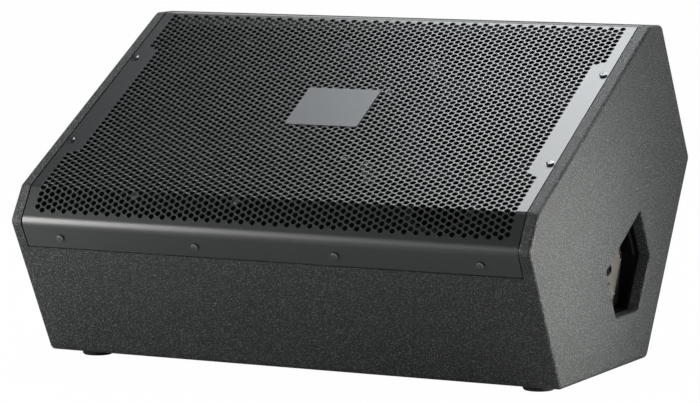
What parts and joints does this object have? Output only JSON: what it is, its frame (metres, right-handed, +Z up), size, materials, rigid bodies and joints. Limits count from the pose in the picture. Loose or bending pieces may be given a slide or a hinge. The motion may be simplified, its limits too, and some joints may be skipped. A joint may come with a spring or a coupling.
{
  "type": "stage monitor wedge",
  "caption": "Floor wedge loudspeaker with a sloped perforated grille over a woofer and a horn, and a hand recess with speaker sockets in each end.",
  "frame": {"origin": "on the floor, under the middle of the cabinet's width and depth", "axes": "+X along the width, to the right of someone who faces the grille; the grille faces -Y and up; +Z up"},
  "size_m": [0.697, 0.5, 0.4179],
  "materials": {
    "cabinet_paint": "textured dark grey paint on plywood",
    "inner_board": "plywood, black paint",
    "grille_steel": "perforated steel, satin dark grey paint",
    "badge_grey": "satin grey paint, bare",
    "screw_black": "black zinc",
    "screw_bright": "bright zinc",
    "bumper_foam": "black foam rubber",
    "frame_cast": "cast, black paint",
    "gasket": "matte",
    "surround_cloth": "coated cloth roll",
    "cone_paper": "black paper pulp",
    "spider_cloth": "resin-treated cotton",
    "former": "amber film",
    "copper": "enamelled copper wire",
    "motor_steel": "zinc plated steel",
    "ferrite": "sintered ferrite",
    "black_plastic": "moulded, fine texture",
    "horn_plastic": "moulded, satin",
    "driver_paint": "black paint",
    "dome_metal": "thin foil",
    "plate_steel": "satin grey-brown paint",
    "socket_plastic": "moulded nylon",
    "switch_plastic": "moulded",
    "circuit_board": "glass-fibre laminate",
    "capacitor_film": "wrapped film",
    "ceramic": "cement filled ceramic",
    "foam": "open-cell absorbent foam",
    "foot_rubber": "matte"
  },
  "bodies": {
    "cabinet": {"side_panel_left": "cabinet_paint", "side_panel_right": "cabinet_paint", "front_panel": "cabinet_paint", "bottom_panel": "cabinet_paint", "top_panel": "cabinet_paint", "back_upper_panel": "cabinet_paint", "back_lower_panel": "cabinet_paint", "baffle": "inner_board", "divider_brace": "inner_board", "grille_cleats_left": "inner_board", "grille_cleats_right": "inner_board", "lining_foam": "foam", "grille": "grille_steel", "grille_bumpers": "bumper_foam", "badge_plate": "badge_grey", "grille_flange_screws": "screw_black", "grille_side_screws": "screw_black", "woofer_frame": "frame_cast", "woofer_gasket": "gasket", "woofer_surround": "surround_cloth", "spider": "spider_cloth", "woofer_top_plate": "motor_steel", "woofer_magnet": "ferrite", "woofer_back_plate": "motor_steel", "woofer_terminals": "black_plastic", "woofer_bolts": "screw_black", "tee_nuts": "motor_steel", "horn_flare": "horn_plastic", "horn_screws": "screw_black", "hf_driver_body": "driver_paint", "hf_diaphragm": "dome_metal", "hf_rear_cap": "driver_paint", "hf_driver_bolts": "screw_black", "port_tube_upper": "black_plastic", "port_tube_lower": "black_plastic", "handle_cup_left": "black_plastic", "handle_cup_right": "black_plastic", "handle_cup_screws": "screw_black", "connector_plate_left": "plate_steel", "connector_plate_right": "plate_steel", "connector_plate_screws": "screw_bright", "speaker_socket_left": "socket_plastic", "speaker_socket_right": "socket_plastic", "jack_sockets": "socket_plastic", "jack_nuts": "socket_plastic", "mode_switch_body": "switch_plastic", "crossover_board": "circuit_board", "crossover_standoffs": "black_plastic", "crossover_screws": "screw_bright", "crossover_inductors": "copper", "crossover_capacitors": "capacitor_film", "crossover_resistors": "ceramic", "feet": "foot_rubber", "foot_screws": "screw_bright"},
    "woofer_cone_assembly": {"woofer_cone": "cone_paper", "dust_cap": "cone_paper", "voice_coil_former": "former", "voice_coil_winding": "copper"},
    "mode_switch_slider": {"mode_switch_slider": "switch_plastic"}
  },
  "joints": [
    {"name": "cone_travel", "type": "slide", "parent": "cabinet", "child": "woofer_cone_assembly", "axis": [0, -0.5, 0.866], "range_m": [-0.008, 0.008], "stiffness_N_per_m": 5000, "deforming": ["woofer_surround", "spider"]},
    {"name": "mode_switch_travel", "type": "slide", "parent": "cabinet", "child": "mode_switch_slider", "axis": [0, 1, 0], "range_m": [0, 0.004]}
  ]
}
